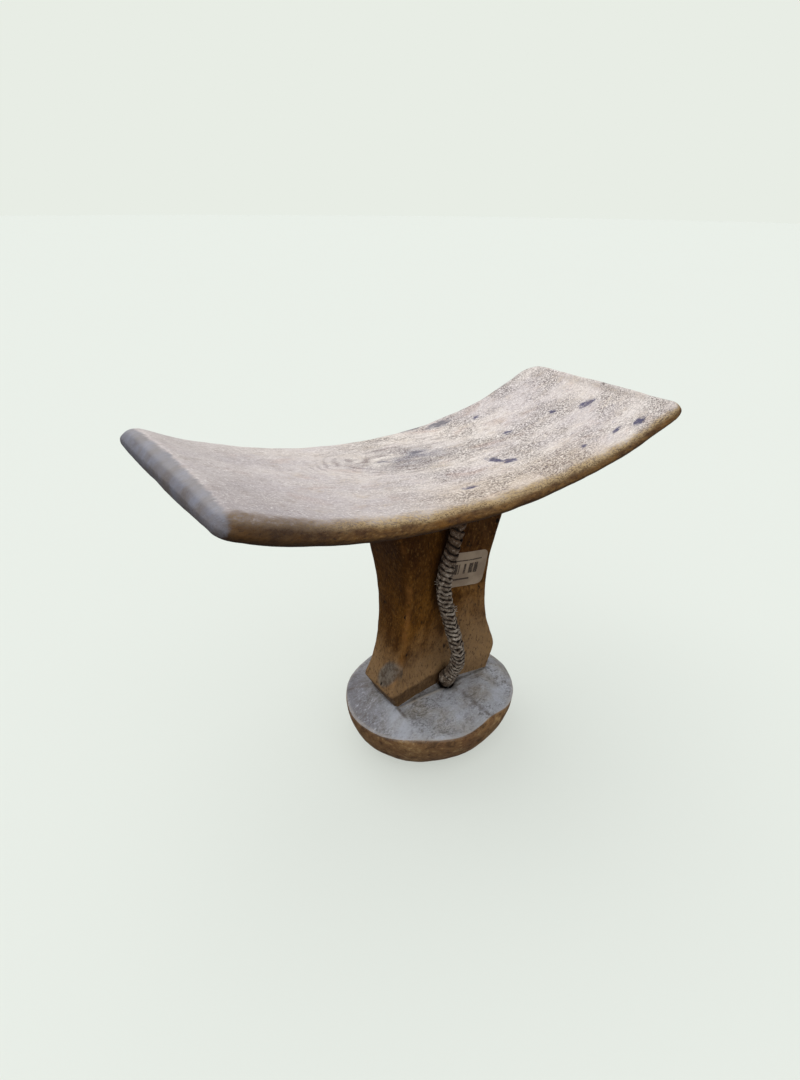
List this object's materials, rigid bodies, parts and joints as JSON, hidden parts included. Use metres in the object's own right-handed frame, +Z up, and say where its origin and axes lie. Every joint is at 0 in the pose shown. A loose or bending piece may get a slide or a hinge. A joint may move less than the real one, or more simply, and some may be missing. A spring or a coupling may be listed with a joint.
{
  "type": "headrest",
  "caption": "Carved wooden headrest with a curved rest on a waisted column and a round base, and a lace-covered hide carrying cord",
  "frame": {"origin": "centre of the flat resting face under the base", "axes": "+Z up, +X along the length of the curved rest, -Y towards the front face with the carrying cord"},
  "size_m": [0.236, 0.1071, 0.1801],
  "materials": {
    "rest_wood": "hand worn, satin",
    "column_wood": "hand carved, dull",
    "base_wood": "handled, satin",
    "hide": "dry hide",
    "lace": "dry worn lace",
    "paper": "matte paper"
  },
  "bodies": {
    "root": {"rest": "rest_wood", "column": "column_wood", "base": "base_wood", "thong": "hide", "lace_cover": "lace", "lace_knot": "lace", "label": "paper"}
  },
  "joints": []
}
